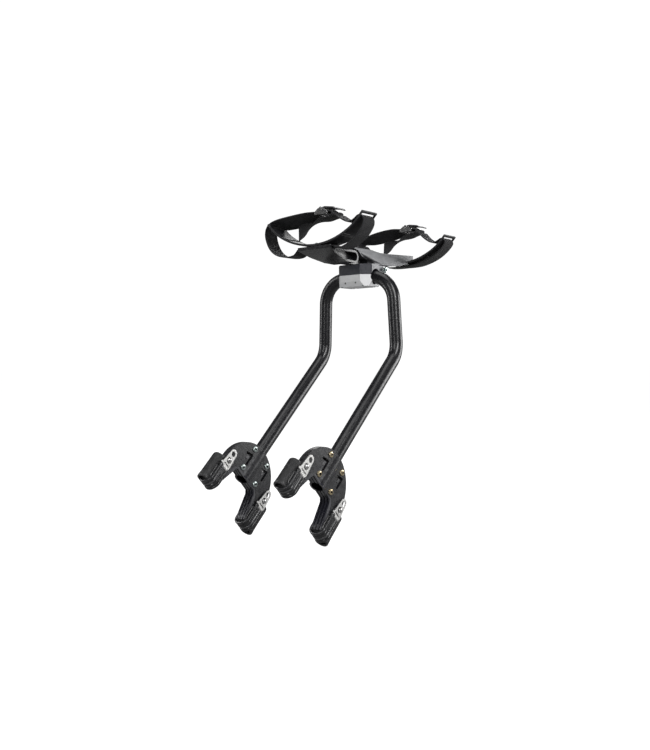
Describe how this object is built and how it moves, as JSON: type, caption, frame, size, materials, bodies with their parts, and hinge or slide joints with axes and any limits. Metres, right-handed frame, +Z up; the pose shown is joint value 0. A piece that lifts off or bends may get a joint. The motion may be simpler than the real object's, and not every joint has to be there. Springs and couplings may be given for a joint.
{
  "type": "ski rack",
  "caption": "Ski carrier on a bent tube frame: horseshoe yokes straddle a rail below, and a tilting head above holds curved saddles with webbing straps.",
  "frame": {"origin": "axis of the rail in the yoke notches, midway between the two yokes", "axes": "+Z up along the frame's uprights, +X across between the yokes, -Y towards the front saddle"},
  "size_m": [0.2356, 0.5545, 0.5967],
  "materials": {
    "painted_tube": "satin powder coat",
    "yoke_plastic": "fine moulded texture",
    "gloss_rubber": "smooth, glossy",
    "zinc_steel": "zinc plated",
    "brass_plate": "yellow zinc plated",
    "shoe_rubber": "moulded, semi-gloss",
    "strap_rubber": "moulded, ribbed",
    "stainless": "bright",
    "latch_steel": "bright, fine scratches",
    "bright_alloy": "bright satin",
    "black_cast": "fine textured black",
    "bush_plastic": "plain",
    "dark_steel": "black oxide",
    "black_moulding": "smooth satin",
    "grey_alloy": "satin grey",
    "saddle_plastic": "satin, worn light edges",
    "webbing": "woven",
    "lever_plastic": "satin"
  },
  "bodies": {
    "frame": {"frame_tube": "painted_tube", "left_yoke_bolt_side": "yoke_plastic", "left_yoke_nut_side": "yoke_plastic", "right_yoke_bolt_side": "yoke_plastic", "right_yoke_nut_side": "yoke_plastic", "left_yoke_liner": "gloss_rubber", "right_yoke_liner": "gloss_rubber", "left_yoke_bolts": "zinc_steel", "right_yoke_bolts": "brass_plate", "left_yoke_nuts": "zinc_steel", "right_yoke_nuts": "brass_plate", "left_front_shoe": "shoe_rubber", "left_rear_shoe": "shoe_rubber", "right_front_shoe": "shoe_rubber", "right_rear_shoe": "shoe_rubber", "left_front_shoe_strap": "strap_rubber", "left_rear_shoe_strap": "strap_rubber", "right_front_shoe_strap": "strap_rubber", "right_rear_shoe_strap": "strap_rubber", "left_latch_pins": "stainless", "right_latch_pins": "stainless", "left_latch_studs": "stainless", "right_latch_studs": "stainless", "left_strap_rivets": "stainless", "right_strap_rivets": "stainless"},
    "head": {"head_lower_clamp": "bright_alloy", "head_upper_clamp": "black_cast", "tilt_bush": "bush_plastic", "head_clamp_screws": "zinc_steel", "head_set_screws": "dark_steel", "tilt_lock_bolt": "zinc_steel", "tilt_lock_washers": "stainless", "tilt_lock_nut": "zinc_steel", "front_arm": "black_moulding", "rear_arm": "grey_alloy", "arm_bolts": "zinc_steel", "front_saddle": "saddle_plastic", "rear_saddle": "saddle_plastic", "saddle_screws": "zinc_steel", "front_strap": "webbing", "rear_strap": "webbing", "front_buckle_frame": "stainless", "rear_buckle_frame": "stainless", "front_buckle_pin": "stainless", "rear_buckle_pin": "stainless", "front_buckle_spring": "stainless", "rear_buckle_spring": "stainless"},
    "left_front_latch_body": {"left_front_latch": "latch_steel"},
    "left_rear_latch_body": {"left_rear_latch": "latch_steel"},
    "right_front_latch_body": {"right_front_latch": "latch_steel"},
    "right_rear_latch_body": {"right_rear_latch": "latch_steel"},
    "front_buckle_lever_body": {"front_buckle_lever": "lever_plastic"},
    "rear_buckle_lever_body": {"rear_buckle_lever": "lever_plastic"}
  },
  "joints": [
    {"name": "head_tilt", "type": "hinge", "parent": "frame", "child": "head", "pos_m": [0, 0.27924, 0.39334], "axis": [1, 0, 0], "range_deg": [-25, 25]},
    {"name": "left_front_latch_hinge", "type": "hinge", "parent": "frame", "child": "left_front_latch_body", "pos_m": [-0.0704, -0.03549, 0.04997], "axis": [0, 0.6561, -0.7547], "range_deg": [0, 105]},
    {"name": "left_rear_latch_hinge", "type": "hinge", "parent": "frame", "child": "left_rear_latch_body", "pos_m": [-0.0704, 0.05285, -0.03488], "axis": [0, 0.6561, -0.7547], "range_deg": [0, 105]},
    {"name": "right_front_latch_hinge", "type": "hinge", "parent": "frame", "child": "right_front_latch_body", "pos_m": [0.1024, -0.03549, 0.04997], "axis": [0, 0.6561, -0.7547], "range_deg": [0, 105]},
    {"name": "right_rear_latch_hinge", "type": "hinge", "parent": "frame", "child": "right_rear_latch_body", "pos_m": [0.1024, 0.05285, -0.03488], "axis": [0, 0.6561, -0.7547], "range_deg": [0, 105]},
    {"name": "front_buckle_lever_hinge", "type": "hinge", "parent": "head", "child": "front_buckle_lever_body", "pos_m": [0.016, 0.16024, 0.50964], "axis": [0, 1, 0], "range_deg": [-75, 0]},
    {"name": "rear_buckle_lever_hinge", "type": "hinge", "parent": "head", "child": "rear_buckle_lever_body", "pos_m": [0.016, 0.45224, 0.50964], "axis": [0, 1, 0], "range_deg": [-75, 0]}
  ]
}
